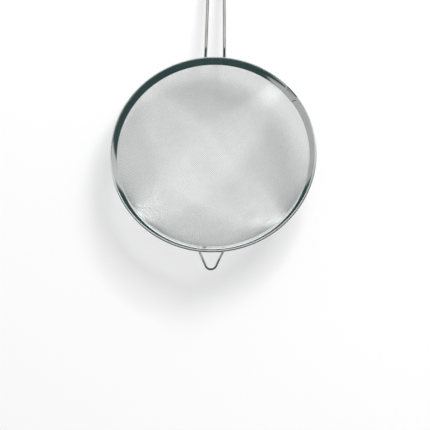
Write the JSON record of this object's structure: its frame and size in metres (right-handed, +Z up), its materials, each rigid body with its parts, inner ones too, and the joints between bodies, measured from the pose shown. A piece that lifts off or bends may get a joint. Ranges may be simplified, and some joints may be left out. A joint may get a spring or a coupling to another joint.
{
  "type": "wire sieve",
  "caption": "Round wire-cloth sieve with a folded steel rim, a hairpin wire handle and a small wire hook that rests on the far edge of a pot or bowl.",
  "frame": {"origin": "on the table under the middle of the sieve's box, as it lies on its bowl and the tip of its handle", "axes": "+Z up from the table, +Y along the sieve from the hook to the handle, +X across it"},
  "size_m": [0.1798, 0.3496, 0.0874],
  "materials": {
    "wire_cloth": "satin",
    "polished_band": "polished",
    "drawn_wire": "gloss"
  },
  "bodies": {
    "root": {"mesh_bowl": "wire_cloth", "rim_band": "polished_band", "rim_hoop_wire": "drawn_wire", "handle_wire": "drawn_wire", "hook_wire": "drawn_wire"}
  },
  "joints": []
}
